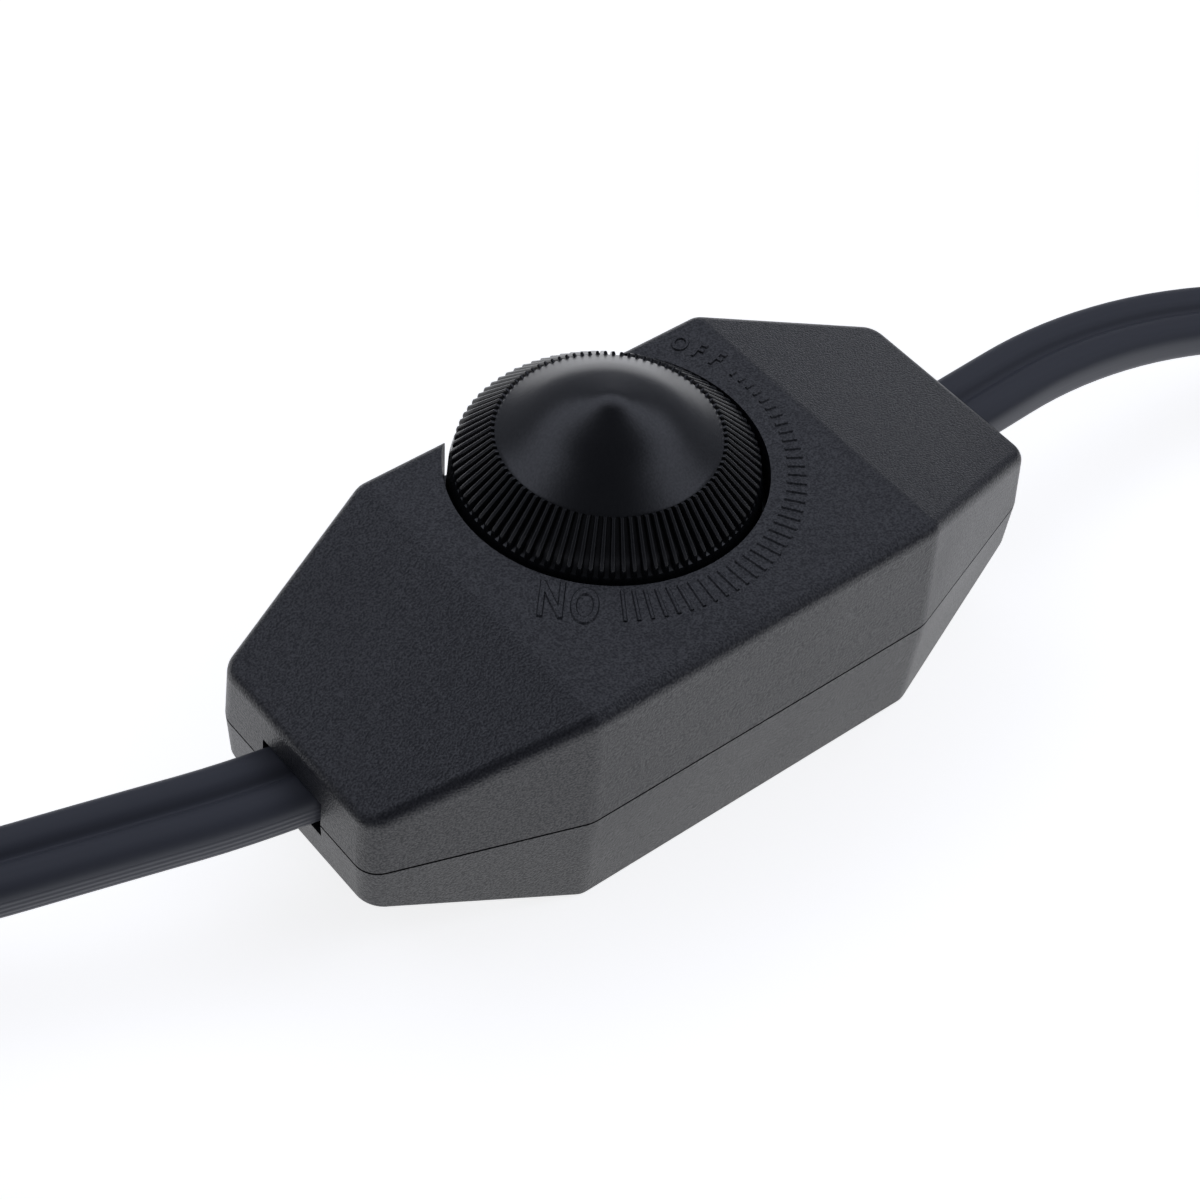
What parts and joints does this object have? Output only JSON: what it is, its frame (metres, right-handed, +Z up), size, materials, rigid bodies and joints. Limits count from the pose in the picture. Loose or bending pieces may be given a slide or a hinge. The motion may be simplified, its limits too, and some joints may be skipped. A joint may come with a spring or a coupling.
{
  "type": "rotary cord dimmer",
  "caption": "Black in-line rotary dimmer for a lamp cord: octagonal two-part case with a ridged, pointed knob and a flat cord at each end, folded and tied past a short lead.",
  "frame": {"origin": "on the flat underside of the case, below the middle of its length and width", "axes": "+X along the case towards the lamp's cord, +Y towards the wall that the knob stands out of, +Z up"},
  "size_m": [0.3724, 0.0534, 0.0298],
  "materials": {
    "casing_plastic": "black moulded plastic with a fine spark-eroded grain",
    "knob_plastic": "black moulded plastic, satin",
    "cord_jacket": "black flexible vinyl, satin",
    "plug_plastic": "black moulded vinyl, satin",
    "strap_fabric": "black woven strap",
    "screw_steel": "zinc-plated steel",
    "plated_steel": "nickel-plated pressed steel",
    "shaft_alloy": "turned or sheet aluminium",
    "contact_metal": "stamped brass",
    "tinned_metal": "tin-plated copper",
    "rotor_plastic": "natural moulded plastic",
    "switch_plastic": "black moulded plastic",
    "phenolic_board": "brown phenolic laminate",
    "carbon_track": "printed carbon",
    "mould_compound": "black epoxy moulding",
    "capacitor_case": "yellow plastic box",
    "film_coating": "dipped red-brown epoxy",
    "ferrite": "sintered ferrite",
    "magnet_wire": "enamelled copper wire",
    "resistor_coating": "beige lacquer",
    "diac_glass": "blue lacquer"
  },
  "bodies": {
    "housing": {"upper_shell": "casing_plastic", "lower_shell": "casing_plastic", "housing_screws": "screw_steel", "pot_case": "plated_steel", "pot_wafer": "phenolic_board", "pot_track": "carbon_track", "pot_lugs": "tinned_metal", "switch_case": "switch_plastic", "circuit_board": "phenolic_board", "heat_sink": "shaft_alloy", "triac": "mould_compound", "heat_sink_rivet": "shaft_alloy", "filter_capacitor": "capacitor_case", "timing_capacitor": "film_coating", "coupling_capacitor": "film_coating", "choke_core": "ferrite", "choke_winding": "magnet_wire", "resistor": "resistor_coating", "diac": "diac_glass", "line_tails": "cord_jacket", "load_tails": "cord_jacket", "line_cord": "cord_jacket", "line_hank": "cord_jacket", "line_tie": "strap_fabric", "line_cord_end": "cord_jacket", "plug_body": "plug_plastic", "plug_blades": "contact_metal", "load_cord": "cord_jacket", "load_hank": "cord_jacket", "load_tie": "strap_fabric", "load_cord_end": "cord_jacket", "load_strands": "tinned_metal"},
    "knob": {"knob": "knob_plastic", "pot_shaft": "shaft_alloy", "pot_rotor": "rotor_plastic", "pot_wiper": "contact_metal"}
  },
  "joints": [
    {"name": "knob_turn", "type": "hinge", "parent": "housing", "child": "knob", "pos_m": [0, 0.0055, 0.022], "axis": [0, 0, -1], "range_deg": [0, 280]}
  ]
}
